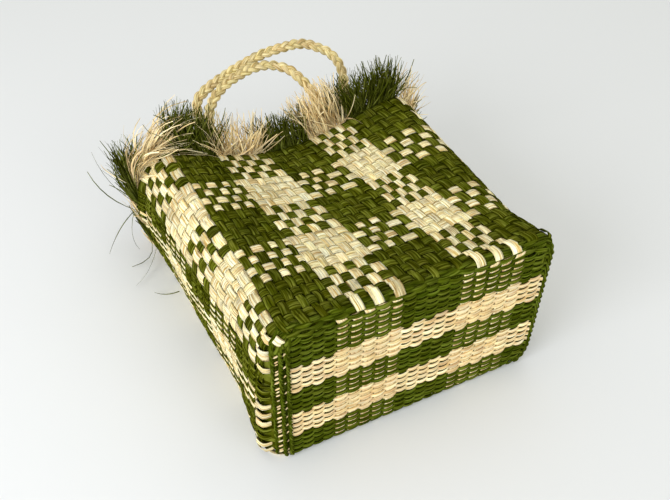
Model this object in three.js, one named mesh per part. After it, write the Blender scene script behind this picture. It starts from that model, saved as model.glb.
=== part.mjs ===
// A small tote handbag plaited from palm-fibre strips, lying on its back panel.
// X runs along the width, Y from the base to the mouth, and Z up from the surface it lies on.
import * as THREE from 'three';

// Driving dimensions, in millimetres
const CLOTH = 2.4; // thickness of the woven cloth
const BASE_EDGE = 11; // radius where the walls turn into the base
const RIM_RUN = 292; // from the base to the rim
const GAP = 0.3; // clearance between neighbouring pieces
const CORNER_STEPS = 6; // facets round each long corner of the tube
const SIDE_STEPS = [14, 5, 10, 5]; // facets along the front, right, back and left panels
const EDGE_STEPS = 4; // facets round the turn into the base
const SHARPEST_CORNER = 2; // smallest corner radius left after a section is inset
const WALL_RUNS = [24, 48, 75, 112, 150, 188, 225, 260, RIM_RUN];

const CORD_RADIUS = 2.4; // plaited cords edging the base
const CORD_CLEARANCE = 2; // between a cord and the turn of the wall
const CORD_SPACING = 6.7; // between the outer and the inner cord, across the base
const CORD_ENDS = [15, 136]; // heights between which the cords run
const CORD_SIDES = 8;
const CORD_SEGMENTS = 6;

const HANDLE_RADIUS = 5.4;
const HANDLE_SIDES = 10;
const HANDLE_STEPS = 56;

const FRINGE_LENGTH = 48;
const FRINGE_EDGE = 0.006; // share of a panel left free between two tufts, at each end of a tuft
const FRINGE_STEPS = 6;
const FLOOR_CLEARANCE = 0.6; // the lowest fibres stay this far above the surface

// Cross-sections of the tube: the places of its front-left corner, its back-left corner and its right side,
// the heights of its front corners, the radii of its long corners, how far the front panel sags and how far
// the side panels bulge
const SECTIONS = [
  { run: 0, left: -125, backLeft: -125, right: 125, frontLeft: 152, frontRight: 152,
    roundLeft: 20, roundRight: 20, roundBack: 14, sag: 0, bulge: 0 },
  { run: 15, left: -127, backLeft: -137, right: 129, frontLeft: 150, frontRight: 149,
    roundLeft: 23, roundRight: 22, roundBack: 16, sag: 1, bulge: 1 },
  { run: 75, left: -128, backLeft: -132, right: 144, frontLeft: 140, frontRight: 135,
    roundLeft: 34, roundRight: 30, roundBack: 18, sag: 6, bulge: 3 },
  { run: 150, left: -131, backLeft: -135, right: 158, frontLeft: 130, frontRight: 124,
    roundLeft: 40, roundRight: 34, roundBack: 18, sag: 13, bulge: 5 },
  { run: 225, left: -133, backLeft: -138, right: 165, frontLeft: 123, frontRight: 120,
    roundLeft: 40, roundRight: 34, roundBack: 18, sag: 21, bulge: 5 },
  { run: RIM_RUN, left: -134, backLeft: -144, right: 167, frontLeft: 118, frontRight: 121,
    roundLeft: 36, roundRight: 32, roundBack: 18, sag: 28, bulge: 5 },
];

// Colour bands of the warps at the rim. A place round the mouth counts panels: the front panel is 0 to 1,
// the right one 1 to 2, the back one 2 to 3 and the left one 3 to 4.
const TUFTS = [
  { name: 'fringe_left_corner', fibre: 'natural', from: 3.7, to: 4.056 },
  { name: 'fringe_front_green_1', fibre: 'green', from: 0.056, to: 0.223 },
  { name: 'fringe_front_natural_1', fibre: 'natural', from: 0.223, to: 0.384 },
  { name: 'fringe_front_green_2', fibre: 'green', from: 0.384, to: 0.579 },
  { name: 'fringe_front_natural_2', fibre: 'natural', from: 0.579, to: 0.716 },
  { name: 'fringe_front_green_3', fibre: 'green', from: 0.716, to: 0.947 },
  { name: 'fringe_right_natural_1', fibre: 'natural', from: 0.947, to: 1.25 },
  { name: 'fringe_right_green_1', fibre: 'green', from: 1.25, to: 1.5 },
  { name: 'fringe_right_natural_2', fibre: 'natural', from: 1.5, to: 1.73 },
  { name: 'fringe_right_green_2', fibre: 'green', from: 1.73, to: 1.93 },
  { name: 'fringe_right_corner', fibre: 'natural', from: 1.93, to: 2.12 },
  { name: 'fringe_back_green_1', fibre: 'green', from: 2.12, to: 2.28 },
  { name: 'fringe_back_natural_1', fibre: 'natural', from: 2.28, to: 2.44 },
  { name: 'fringe_back_green_2', fibre: 'green', from: 2.44, to: 2.6 },
  { name: 'fringe_back_natural_2', fibre: 'natural', from: 2.6, to: 2.76 },
  { name: 'fringe_back_green_3', fibre: 'green', from: 2.76, to: 2.92 },
  { name: 'fringe_back_corner', fibre: 'natural', from: 2.92, to: 3.1 },
  { name: 'fringe_left_green_1', fibre: 'green', from: 3.1, to: 3.28 },
  { name: 'fringe_left_natural', fibre: 'natural', from: 3.28, to: 3.5 },
  { name: 'fringe_left_green_2', fibre: 'green', from: 3.5, to: 3.7 },
];

// Flare of the fringe away from the bag's length, in degrees, on the front, side and back panels
const FLARES = [
  { facing: 1, inner: 42, outer: 72 },
  { facing: 0, inner: 22, outer: 55 },
  { facing: -1, inner: -14, outer: 0 },
];

// Routes of the handles: each end lies against the inside of its panel, and the loop stands out of the mouth
const HANDLE_ROUTES = {
  handle_front: [
    [-60, 216, 101], [-59, 240, 98], [-58, 264, 95], [-57, 286, 93], [-57, 304, 98], [-56, 320, 106],
    [-54, 334, 114], [-49, 347, 121], [-41, 357, 126], [-30, 365, 131], [-16, 372, 135], [0, 378, 137],
    [16, 381, 139], [32, 380, 139], [45, 376, 136], [54, 369, 133], [60, 360, 128], [65, 349, 122],
    [68, 335, 114], [68, 320, 105], [66, 304, 95], [64, 288, 86], [62, 264, 89], [62, 240, 91], [62, 216, 94],
  ],
  handle_back: [
    [-60, 262, 8.6], [-60, 284, 9.4], [-60, 300, 18], [-59, 318, 39], [-58, 338, 64], [-57, 360, 91],
    [-53, 378, 113], [-40, 386, 122], [-22, 391, 128], [-6, 395, 132], [13, 398, 137], [37, 402, 141],
    [60, 403, 143], [85, 403, 142], [102, 398, 136], [114, 392, 129], [121, 384, 120], [123, 376, 110],
    [121, 362, 93], [116, 345, 73], [110, 328, 52], [104, 312, 32], [99, 298, 16], [97, 282, 9.4],
    [96, 262, 8.6],
  ],
};

const FIBRES = {
  natural: { color: 0xe3cf9e, roughness: 0.7, metalness: 0 },
  green: { color: 0x48571c, roughness: 0.72, metalness: 0 },
};

// The slope of a section column at one row, from the rows on each side of it
function slopeAt(rows, key, column, i) {
  const low = rows[Math.max(i - 1, 0)];
  const high = rows[Math.min(i + 1, rows.length - 1)];
  return (high[column] - low[column]) / (high[key] - low[key]);
}

// Smooth cubic value of a column between the rows of a table that rises along its key
function between(rows, key, column, at) {
  let i = 0;
  while (i < rows.length - 2 && at > rows[i + 1][key]) i += 1;
  const span = rows[i + 1][key] - rows[i][key];
  const t = (at - rows[i][key]) / span;
  const start = slopeAt(rows, key, column, i) * span;
  const end = slopeAt(rows, key, column, i + 1) * span;
  const a = rows[i][column];
  const b = rows[i + 1][column];
  return a + start * t + (3 * (b - a) - 2 * start - end) * t ** 2 + (2 * (a - b) + start + end) * t ** 3;
}

// Arc that rounds one corner of a closed outline
function cornerArc(before, corner, after, radius) {
  const back = before.clone().sub(corner).normalize();
  const forth = after.clone().sub(corner).normalize();
  const halfAngle = Math.acos(back.dot(forth)) / 2;
  const centre = back.clone().add(forth).normalize().multiplyScalar(radius / Math.sin(halfAngle)).add(corner);
  const start = back.multiplyScalar(radius / Math.tan(halfAngle)).add(corner).sub(centre).angle();
  const turn = Math.PI - 2 * halfAngle;
  const points = [];
  for (let i = 0; i <= CORNER_STEPS; i += 1) {
    const angle = start - (turn * i) / CORNER_STEPS;
    points.push(new THREE.Vector2(Math.cos(angle), Math.sin(angle)).multiplyScalar(radius).add(centre));
  }
  return points;
}

// Closed outline of the tube at one run, as four panels that each start and end in the middle of a corner.
// An inset draws the outline in, for the inner face and for the turn into the base.
function panelsAt(run, inset) {
  const size = (column) => between(SECTIONS, 'run', column, run);
  const right = size('right') - inset;
  const corners = [
    new THREE.Vector2(size('left') + inset, size('frontLeft') - inset),
    new THREE.Vector2(right, size('frontRight') - inset),
    new THREE.Vector2(right, inset),
    new THREE.Vector2(size('backLeft') + inset, inset),
  ];
  const radii = [size('roundLeft'), size('roundRight'), size('roundBack'), size('roundBack')];
  const arcs = corners.map((corner, i) => cornerArc(
    corners[(i + 3) % 4], corner, corners[(i + 1) % 4], Math.max(radii[i] - inset, SHARPEST_CORNER),
  ));
  const middle = CORNER_STEPS / 2;
  const push = [[0, -size('sag')], [size('bulge'), 0], [0, 0], [-size('bulge'), 0]];
  return arcs.map((arc, i) => {
    const next = arcs[(i + 1) % 4];
    const from = arc[CORNER_STEPS];
    const points = arc.slice(middle);
    for (let k = 1; k < SIDE_STEPS[i]; k += 1) points.push(from.clone().lerp(next[0], k / SIDE_STEPS[i]));
    points.push(...next.slice(0, middle + 1));
    return bowed(points, push[i]);
  });
}

// Push the middle of a panel in or out, leaving its ends in place
function bowed(points, push) {
  const lengths = [0];
  for (let k = 1; k < points.length; k += 1) lengths.push(lengths[k - 1] + points[k].distanceTo(points[k - 1]));
  const total = lengths[lengths.length - 1];
  return points.map((point, k) => {
    const share = Math.sin((Math.PI * lengths[k]) / total) ** 2;
    return new THREE.Vector2(point.x + push[0] * share, point.y + push[1] * share);
  });
}

// The whole outline at one run, with no point twice
function loopAt(run, inset) {
  return panelsAt(run, inset).flatMap((panel) => panel.slice(0, -1));
}

// Point and outward direction on the rim at a place counted in panels
function rimAt(place) {
  const wrapped = (place + 4) % 4;
  const panel = panelsAt(RIM_RUN, 0)[Math.floor(wrapped)];
  const curve = new THREE.SplineCurve(panel);
  const share = wrapped - Math.floor(wrapped);
  const tangent = curve.getTangentAt(share);
  return { point: curve.getPointAt(share), outward: new THREE.Vector2(-tangent.y, tangent.x) };
}

// A mesh from rings of points: neighbouring rings are joined, and then either the last ring joins the first
// or both end rings are capped
function ringMesh(rings, closed) {
  const count = rings[0].length;
  const position = rings.flat().flatMap((p) => [p.x, p.y, p.z]);
  const index = [];
  const bands = closed ? rings.length : rings.length - 1;
  for (let i = 0; i < bands; i += 1) {
    const here = i * count;
    const next = ((i + 1) % rings.length) * count;
    for (let k = 0; k < count; k += 1) {
      const l = (k + 1) % count;
      index.push(here + k, here + l, next + k, next + k, here + l, next + l);
    }
  }
  if (!closed) {
    const last = (rings.length - 1) * count;
    for (let k = 1; k < count - 1; k += 1) index.push(0, k + 1, k, last, last + k, last + k + 1);
  }
  const geometry = new THREE.BufferGeometry();
  geometry.setAttribute('position', new THREE.Float32BufferAttribute(position, 3));
  geometry.setIndex(index);
  geometry.computeVertexNormals();
  return geometry;
}

// One face of the wall, as rings from the base opening to the rim
function wallRings(depth) {
  const ring = (section, run, inset) => loopAt(section, inset).map((p) => new THREE.Vector3(p.x, run, p.y));
  const rings = [];
  const radius = BASE_EDGE - depth;
  for (let i = 0; i <= EDGE_STEPS; i += 1) {
    const angle = (Math.PI / 2) * (i / EDGE_STEPS);
    const section = BASE_EDGE * (1 - Math.cos(angle));
    rings.push(ring(section, BASE_EDGE - radius * Math.cos(angle), BASE_EDGE - radius * Math.sin(angle)));
  }
  WALL_RUNS.forEach((run) => rings.push(ring(run, run, depth)));
  return rings;
}

// The four-sided woven tube: the outer face up to the rim, then the inner face back to the base opening
function wovenWall() {
  const outer = wallRings(0);
  const inner = wallRings(CLOTH).reverse();
  return ringMesh([...outer, ...inner], true);
}

// The panel that closes the bottom of the tube
function wovenBase() {
  const outline = new THREE.Shape(loopAt(0, BASE_EDGE + GAP));
  const geometry = new THREE.ExtrudeGeometry(outline, { depth: CLOTH, bevelEnabled: false });
  return geometry.rotateX(Math.PI / 2).translate(0, CLOTH, 0);
}

// A round section for cords and handles
function roundShape(radius, sides) {
  const shape = new THREE.Shape();
  for (let i = 0; i < sides; i += 1) {
    const angle = (2 * Math.PI * i) / sides;
    const point = new THREE.Vector2(Math.cos(angle), Math.sin(angle)).multiplyScalar(radius);
    if (i === 0) shape.moveTo(point.x, point.y);
    else shape.lineTo(point.x, point.y);
  }
  shape.closePath();
  return shape;
}

// Cords along the two short edges of the base, an outer one in the turn of the wall and an inner one on the base
function baseCord(side, isOuter) {
  const edge = side < 0 ? SECTIONS[0].left : SECTIONS[0].right;
  const centre = new THREE.Vector2(edge - side * BASE_EDGE, BASE_EDGE);
  const reach = BASE_EDGE + CORD_RADIUS + CORD_CLEARANCE;
  const diagonal = reach * Math.SQRT1_2;
  const outerPlace = new THREE.Vector2(centre.x + side * diagonal, centre.y - diagonal);
  const innerX = outerPlace.x - side * CORD_SPACING;
  const innerPlace = new THREE.Vector2(innerX, centre.y - Math.sqrt(reach ** 2 - (innerX - centre.x) ** 2));
  const place = isOuter ? outerPlace : innerPlace;
  const path = new THREE.LineCurve3(
    new THREE.Vector3(place.x, place.y, CORD_ENDS[0]), new THREE.Vector3(place.x, place.y, CORD_ENDS[1]),
  );
  return new THREE.ExtrudeGeometry(roundShape(CORD_RADIUS, CORD_SIDES), { steps: CORD_SEGMENTS, extrudePath: path });
}

function handle(route) {
  const path = new THREE.CatmullRomCurve3(route.map((point) => new THREE.Vector3(...point)));
  return new THREE.ExtrudeGeometry(roundShape(HANDLE_RADIUS, HANDLE_SIDES), { steps: HANDLE_STEPS, extrudePath: path });
}

// Flare of the fringe where the rim faces up, sideways or down
function flareAt(facing) {
  const rows = FLARES.toReversed();
  const upper = rows.findIndex((row, i) => i > 0 && facing <= row.facing);
  const high = rows[upper];
  const low = rows[upper - 1];
  const share = (facing - low.facing) / (high.facing - low.facing);
  const mix = (column) => THREE.MathUtils.degToRad(low[column] + (high[column] - low[column]) * share);
  return { inner: mix('inner'), outer: mix('outer') };
}

// Outer form of one tuft: thin at the rim, and spread at the free ends of its fibres
function tuft(from, to) {
  const start = RIM_RUN + GAP;
  const rings = [];
  for (let i = 0; i <= FRINGE_STEPS; i += 1) {
    const place = from + FRINGE_EDGE + ((to - from - 2 * FRINGE_EDGE) * i) / FRINGE_STEPS;
    const { point, outward } = rimAt(place);
    const flare = flareAt(THREE.MathUtils.clamp(outward.y, -1, 1));
    const at = (depth, angle, length) => {
      const out = Math.sin(angle) * length - depth;
      const height = Math.max(point.y + outward.y * out, FLOOR_CLEARANCE + depth);
      return new THREE.Vector3(point.x + outward.x * out, start + Math.cos(angle) * length, height);
    };
    rings.push([
      at(0, 0, 0), at(CLOTH, 0, 0), at(CLOTH, flare.inner, FRINGE_LENGTH), at(0, flare.outer, FRINGE_LENGTH),
    ]);
  }
  return ringMesh(rings, false);
}

// A named mesh of one fibre colour
function piece(name, geometry, fibre) {
  const mesh = new THREE.Mesh(geometry, new THREE.MeshStandardMaterial(FIBRES[fibre]));
  mesh.name = name;
  return mesh;
}

const bag = new THREE.Group();
bag.add(piece('woven_wall', wovenWall(), 'green'));
bag.add(piece('woven_base', wovenBase(), 'green'));
for (const [sideName, side] of [['left', -1], ['right', 1]]) {
  bag.add(piece(`base_cord_${sideName}_outer`, baseCord(side, true), 'green'));
  bag.add(piece(`base_cord_${sideName}_inner`, baseCord(side, false), 'green'));
}
for (const [name, route] of Object.entries(HANDLE_ROUTES)) bag.add(piece(name, handle(route), 'natural'));
for (const { name, fibre, from, to } of TUFTS) bag.add(piece(name, tuft(from, to), fibre));

// The origin is the middle of the surface that the bag lies on
const box = new THREE.Box3().setFromObject(bag);
const middle = box.getCenter(new THREE.Vector3());
bag.position.set(-middle.x, -middle.y, -box.min.z);

const handbag = new THREE.Group();
handbag.add(bag);

export default handbag;
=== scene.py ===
import math

import bpy
import numpy as np
from mathutils import Matrix, Vector


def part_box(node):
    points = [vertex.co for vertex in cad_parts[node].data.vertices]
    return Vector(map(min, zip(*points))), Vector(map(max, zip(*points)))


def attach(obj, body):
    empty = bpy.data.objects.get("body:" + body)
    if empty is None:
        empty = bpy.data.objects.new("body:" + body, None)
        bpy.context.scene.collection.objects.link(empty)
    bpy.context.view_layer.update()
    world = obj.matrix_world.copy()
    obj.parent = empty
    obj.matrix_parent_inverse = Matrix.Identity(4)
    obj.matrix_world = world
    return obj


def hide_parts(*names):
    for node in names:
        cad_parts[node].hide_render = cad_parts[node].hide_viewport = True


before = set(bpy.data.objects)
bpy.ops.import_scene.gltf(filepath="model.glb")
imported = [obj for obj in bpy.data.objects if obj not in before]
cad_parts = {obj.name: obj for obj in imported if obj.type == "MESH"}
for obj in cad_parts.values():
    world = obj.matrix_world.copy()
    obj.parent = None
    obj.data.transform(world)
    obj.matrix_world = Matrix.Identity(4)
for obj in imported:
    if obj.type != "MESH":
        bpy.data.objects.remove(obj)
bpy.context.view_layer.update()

# Sizes of the bag, in millimetres. X runs along the width, Y from the base to the mouth, Z up from the floor.
BASE_EDGE = 11.0
RIM_RUN = 292.0
EDGE_ARC = BASE_EDGE * math.pi / 2
RIM_TRAVEL = EDGE_ARC + RIM_RUN - BASE_EDGE
PANELS = 4
CORNER_STEPS = 24
SHARPEST_CORNER = 2.0
PANEL_STEPS = 160
GRID_STEP = 2.0
MM = 0.001
X_AXIS = np.array([1.0, 0.0, 0.0])
Y_AXIS = np.array([0.0, 1.0, 0.0])
Z_AXIS = np.array([0.0, 0.0, 1.0])

SECTION_COLUMNS = ("run", "left", "back_left", "right", "front_left", "front_right", "round_left",
                   "round_right", "round_back", "sag", "bulge")
SECTIONS = np.array([
    (0, -125, -125, 125, 152, 152, 20, 20, 14, 0, 0),
    (15, -127, -137, 129, 150, 149, 23, 22, 16, 1, 1),
    (75, -128, -132, 144, 140, 135, 34, 30, 18, 6, 3),
    (150, -131, -135, 158, 130, 124, 40, 34, 18, 13, 5),
    (225, -133, -138, 165, 123, 120, 40, 34, 18, 21, 5),
    (RIM_RUN, -134, -144, 167, 118, 121, 36, 32, 18, 28, 5),
], float)

# Colour bands of the warps: fibre, where the band starts at the base, halfway and at the mouth, and the
# widths of its strips. A place counts panels: front 0 to 1, right side 1 to 2, back 2 to 3, and left side
# 3 to 4 or -1 to 0. The first band is the last strip of the last one.
NATURAL, GREEN = 0, 1
EVEN_5, EVEN_6 = (1,) * 5, (1,) * 6
BANDS = (
    (GREEN, (-0.345, -0.345, -0.350), (1,)),
    (NATURAL, (-0.300, -0.303, -0.312), (86, 72, 60, 44, 33)),
    (GREEN, (0.028, 0.050, 0.072), (20, 18, 24, 18, 16, 18, 14)),
    (NATURAL, (0.234, 0.229, 0.222), (24, 20, 24, 23, 26, 27)),
    (GREEN, (0.458, 0.428, 0.400), (28, 19, 19, 25, 35, 25)),
    (NATURAL, (0.675, 0.632, 0.586), (22, 19, 20, 18, 20, 19)),
    (GREEN, (0.888, 0.781, 0.737), (27, 28, 28, 28, 29, 29)),
    (NATURAL, (1.100, 1.023, 0.947), EVEN_6),
    (GREEN, (1.360, 1.305, 1.250), EVEN_5),
    (NATURAL, (1.570, 1.535, 1.500), EVEN_6),
    (GREEN, (1.790, 1.760, 1.730), EVEN_5),
    (NATURAL, (1.970, 1.950, 1.930), EVEN_6),
    (GREEN, (2.130, 2.125, 2.120), EVEN_6),
    (NATURAL, (2.290, 2.285, 2.280), EVEN_6),
    (GREEN, (2.450, 2.445, 2.440), EVEN_6),
    (NATURAL, (2.610, 2.605, 2.600), EVEN_6),
    (GREEN, (2.770, 2.765, 2.760), EVEN_6),
    (NATURAL, (2.930, 2.925, 2.920), EVEN_6),
    (GREEN, (3.110, 3.100, 3.100), EVEN_5),
    (NATURAL, (3.270, 3.272, 3.280), EVEN_6),
    (GREEN, (3.500, 3.495, 3.500), EVEN_6),
)

# Rows of the wall's weft, counted from the base
ROW_PITCH = 14.1
FIRST_ROW = 16.3
ROW_FIBRES = (GREEN,) * 4 + (NATURAL,) * 4 + (GREEN,) * 4 + (NATURAL,) * 4 + (GREEN,) * 4
ROWS = len(ROW_FIBRES)

random = np.random.default_rng(20)
SEED_RANGE = (0, 400)


def wander(at, knots, middle, spread, period=None):
    """Values that change at random from knot to knot, read at positions between the knots."""
    return np.interp(at, knots, random.normal(middle, spread, len(knots)), period=period)


def turn_about(number):
    """1 for even numbers and -1 for odd ones, for what lies over and under by turns."""
    return 1 if number % 2 == 0 else -1


def cubic(a, b, start, end, t):
    """Smooth values from a to b that leave with one slope and arrive with another."""
    return a + start * t + (3 * (b - a) - 2 * start - end) * t ** 2 + (2 * (a - b) + start + end) * t ** 3


def lengths_along(points):
    """How far along a line each of its points lies."""
    return np.concatenate([[0], np.cumsum(np.linalg.norm(np.diff(points, axis=0), axis=1))])


def unit(vectors):
    return vectors / np.linalg.norm(vectors, axis=-1, keepdims=True)


def section(run):
    """The tube's sizes at one run, by a smooth cubic between the table's rows."""
    runs = SECTIONS[:, 0]
    slopes = np.gradient(SECTIONS, axis=0) / np.gradient(runs)[:, None]
    i = int(np.clip(np.searchsorted(runs, run) - 1, 0, len(runs) - 2))
    span = runs[i + 1] - runs[i]
    row = cubic(SECTIONS[i], SECTIONS[i + 1], slopes[i] * span, slopes[i + 1] * span, (run - runs[i]) / span)
    return dict(zip(SECTION_COLUMNS, row))


def corner_arc(before, corner, after, radius):
    back, forth = unit(before - corner), unit(after - corner)
    half = math.acos(back @ forth) / 2
    centre = corner + unit(back + forth) * radius / math.sin(half)
    start = corner + back * radius / math.tan(half) - centre
    angle = math.atan2(start[1], start[0]) - (math.pi - 2 * half) * np.linspace(0, 1, CORNER_STEPS + 1)
    return centre + radius * np.stack([np.cos(angle), np.sin(angle)], axis=1)


def outline(run, inset):
    """The tube's outline at one run, as evenly stepped points of its four panels."""
    s = section(run)
    right = s["right"] - inset
    corners = np.array([(s["left"] + inset, s["front_left"] - inset), (right, s["front_right"] - inset),
                        (right, inset), (s["back_left"] + inset, inset)])
    radii = (s["round_left"], s["round_right"], s["round_back"], s["round_back"])
    arcs = []
    for i in range(PANELS):
        radius = max(radii[i] - inset, SHARPEST_CORNER)
        arcs.append(corner_arc(corners[i - 1], corners[i], corners[(i + 1) % PANELS], radius))
    pushes = np.array([(0, -s["sag"]), (s["bulge"], 0), (0, 0), (-s["bulge"], 0)])
    share = np.arange(PANEL_STEPS) / PANEL_STEPS
    middle = CORNER_STEPS // 2
    panels = []
    for i in range(PANELS):
        line = np.concatenate([arcs[i][middle:], arcs[(i + 1) % PANELS][:middle + 1]])
        length = lengths_along(line)
        even = np.stack([np.interp(share * length[-1], length, values) for values in line.T], axis=1)
        panels.append(even + pushes[i] * (np.sin(math.pi * share) ** 2)[:, None])
    return np.concatenate(panels)


def wall_grid():
    """Points of the wall's outer face, from the edge of the flat base round the turn and up to the rim."""
    rows = []
    for travel in np.linspace(0, RIM_TRAVEL, int(RIM_TRAVEL / GRID_STEP) + 1):
        angle = min(travel / BASE_EDGE, math.pi / 2)
        run = BASE_EDGE * (1 - math.cos(angle)) + max(travel - EDGE_ARC, 0)
        loop = outline(run, BASE_EDGE * (1 - math.sin(angle)))
        rows.append(np.stack([loop[:, 0], np.full(len(loop), run), loop[:, 1]], axis=1))
    return np.array(rows)


GRID = wall_grid()

# Past the frame's rim the left side's cloth goes on a little and splays outwards. Rows: place, which is below
# 0 on that side, and amount.
RIM_SPLAY = np.array([(-1.0, 0), (-0.7, 0.45), (-0.3, 0.45), (0.0, 0.1), (0.1, 0)])
RIM_LIP = np.array([(-0.8, 0), (-0.6, 9), (-0.35, 13), (-0.1, 13), (0.05, 12), (0.11, 2), (0.2, 0)])

# The front right corner swells where the base's edge is knotted
SWELL = np.array([5.5, -1.0, 4.5])
SWELL_PLACE, SWELL_REACH = 1.0, 0.085
SWELL_FADE = np.array([(0, 1), (20, 0.9), (70, 0)])


def left_spot(place):
    """A place with the left side's places given as -1 to 0."""
    return (place + 1) % PANELS - 1


def wall_point(place, travel):
    """Points of the wall's outer face at places round it and travels from the base's edge."""
    place, travel = np.broadcast_arrays(np.asarray(place, float), np.asarray(travel, float))
    column = (place % PANELS) * PANEL_STEPS
    i = np.floor(column).astype(int)
    across = (column - i)[..., None]
    row = np.clip(travel / RIM_TRAVEL, 0, 1) * (len(GRID) - 1)
    k = np.minimum(row.astype(int), len(GRID) - 2)
    along = (row - k)[..., None]
    first, second = i % GRID.shape[1], (i + 1) % GRID.shape[1]
    low = GRID[k, first] * (1 - across) + GRID[k, second] * across
    high = GRID[k + 1, first] * (1 - across) + GRID[k + 1, second] * across
    spot = left_spot(place)
    splay = np.interp(spot, *RIM_SPLAY.T)
    past_rim = np.maximum(travel - RIM_TRAVEL, 0)[..., None] * (Y_AXIS - splay[..., None] * X_AXIS)
    swell = np.exp(-((spot - SWELL_PLACE) / SWELL_REACH) ** 2) * np.interp(travel, *SWELL_FADE.T)
    return low * (1 - along) + high * along + past_rim + swell[..., None] * SWELL


PLACE_REACH = 0.012
TRAVEL_REACH = 2.5


def wall_frame(place, travel):
    """Point, sideways, lengthways and outward directions on the wall."""
    point = wall_point(place, travel)
    side = unit(wall_point(place + PLACE_REACH, travel) - wall_point(place - PLACE_REACH, travel))
    along = unit(wall_point(place, travel + TRAVEL_REACH) - wall_point(place, travel - TRAVEL_REACH))
    return point, side, along, unit(np.cross(side, along))


base_low, base_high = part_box("woven_base")
OFFSET = np.array([(base_low.x + base_high.x) / 2, base_low.y, 0]) / MM


class Bundle:
    """Tubes and ribbons gathered for one joined mesh, with what the fibre materials read at each point."""

    def __init__(self):
        self.points, self.quads, self.kinds, self.fibres, self.tones = [], [], [], [], []
        self.total = 0

    def add(self, rings, across, along, tone, kind, closed_section=True, closed_run=False):
        """rings: strips, stations, section points, xyz. across and along: millimetres in the strip."""
        strips, stations, around = rings.shape[:3]
        station = np.arange(stations if closed_run else stations - 1)[:, None]
        spot = np.arange(around if closed_section else around - 1)
        here, there = station * around, (station + 1) % stations * around
        beside = (spot + 1) % around
        corners = [here + spot, here + beside, there + beside, there + spot]
        quads = np.stack(corners, axis=-1).reshape(-1, len(corners))
        starts = self.total + np.arange(strips) * stations * around
        self.quads.append((starts[:, None, None] + quads).reshape(-1, len(corners)))
        self.kinds.append(np.repeat(np.broadcast_to(kind, strips), len(quads)))
        shape = (strips, stations, around)
        seed = random.uniform(*SEED_RANGE, strips)[:, None, None]
        fibre = [np.broadcast_to(values, shape) for values in (across, along, seed)]
        self.fibres.append(np.stack(fibre, axis=-1).reshape(-1, 3))
        self.tones.append(np.broadcast_to(tone, shape).reshape(-1))
        self.points.append(rings.reshape(-1, 3))
        self.total += strips * stations * around

    def build(self, name, materials, slot, *nodes):
        """Makes the mesh, puts it on the frame and hides the CAD nodes it stands for."""
        points = (np.concatenate(self.points) + OFFSET) * MM
        quads = np.concatenate(self.quads)
        mesh = bpy.data.meshes.new(name)
        mesh.from_pydata(points.tolist(), [], quads.tolist())
        mesh.polygons.foreach_set("material_index", np.concatenate(self.kinds).astype(np.int32))
        mesh.polygons.foreach_set("use_smooth", np.ones(len(quads), bool))
        fibre = mesh.attributes.new("fibre", "FLOAT_VECTOR", "POINT")
        fibre.data.foreach_set("vector", np.concatenate(self.fibres).astype(np.float32).ravel())
        tone = mesh.attributes.new("tone", "FLOAT", "POINT")
        tone.data.foreach_set("value", np.concatenate(self.tones).astype(np.float32))
        for material in materials:
            mesh.materials.append(material)
        mesh.update()
        piece = bpy.data.objects.new(name, mesh)
        bpy.context.scene.collection.objects.link(piece)
        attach(piece, "root")
        if nodes:
            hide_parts(*nodes)


# Sections of strips, as shares of half the width and half the thickness. Flat strips have a crowned upper
# face and a flat lower face.
STRIP_ACROSS = np.array([-1.0, -0.55, 0.55, 1.0, 0.5, -0.5])
STRIP_OUT = np.array([0.0, 0.9, 0.9, 0.0, -0.7, -0.7])
ROUND_SIDES = 8


def round_section(count):
    angle = math.pi - 2 * math.pi * np.arange(count) / count
    return np.cos(angle), np.sin(angle)


def strip_rings(centre, side, out, half_width, half_thick, section_across, section_out):
    """Section points round each station of a strip."""
    across = (half_width[..., None] * section_across)[..., None]
    outward = (half_thick * section_out)[:, None]
    return centre[..., None, :] + side[..., None, :] * across + out[..., None, :] * outward


def add_flat_strip(bundle, centre, side, out, half, thick, along, tone, kind, closed_run=False):
    """One flat strip: its middle line, sideways and outward directions, half its width, and thickness."""
    rings = strip_rings(centre, side, out, half, thick, STRIP_ACROSS, STRIP_OUT)
    tones = np.broadcast_to(tone, along.shape)[:, None]
    bundle.add(rings[None], half[:, None] * STRIP_ACROSS, along[:, None], tones, kind, closed_run=closed_run)


ROUND = round_section(ROUND_SIDES)

# Fibre materials. Rows of FIBRES: dark, middle and light colours, gloss, shade of the splits, and depth of
# the bump in metres. Rows of STREAKS: waves a millimetre across and along a strip, and detail.
FIBRES = {
    "natural_palm_strip": ((206, 171, 98), (246, 230, 174), (255, 253, 217), 0.08, 0.62, 0.0012),
    "green_palm_strip": ((44, 48, 1), (76, 80, 10), (120, 125, 46), 0.0, 0.65, 0.0008),
    "natural_palm_base": ((216, 180, 122), (244, 219, 164), (255, 246, 202), 0.08, 0.75, 0.0005),
    "green_palm_base": ((50, 59, 4), (76, 87, 14), (112, 122, 42), 0.0, 0.7, 0.0005),
    "natural_palm_rope": ((188, 160, 98), (226, 206, 146), (250, 235, 180), 0.08, 0.62, 0.0006),
    "natural_loose_fibre": ((214, 184, 126), (240, 218, 166), (255, 242, 200), 0.08, 0.8, 0.0002),
    "green_loose_fibre": ((46, 52, 5), (76, 83, 14), (122, 126, 58), 0.02, 0.8, 0.0002),
}
STREAKS = {
    "broad": (0.7, 0.04, 2.0),
    "fine": (2.0, 0.2, 1.0),
    "blotch": (0.12, 0.06, 2.0),
    "crumple": (0.2, 0.14, 2.0),
    "split": (0.42, 0.03, 0.0),
}
FIBRE_ROUGHNESS = 0.6
DARK_PLACE, MIDDLE_PLACE, LIGHT_PLACE = 0.34, 0.5, 0.68
SPLIT_MIDDLE, SPLIT_WIDTH = 0.5, 0.075
BLOTCH_TONE, BLOTCH_HUE, FIRST_HUE = 0.5, 0.05, 0.475
BUMP_STRENGTH = 0.9
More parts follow.
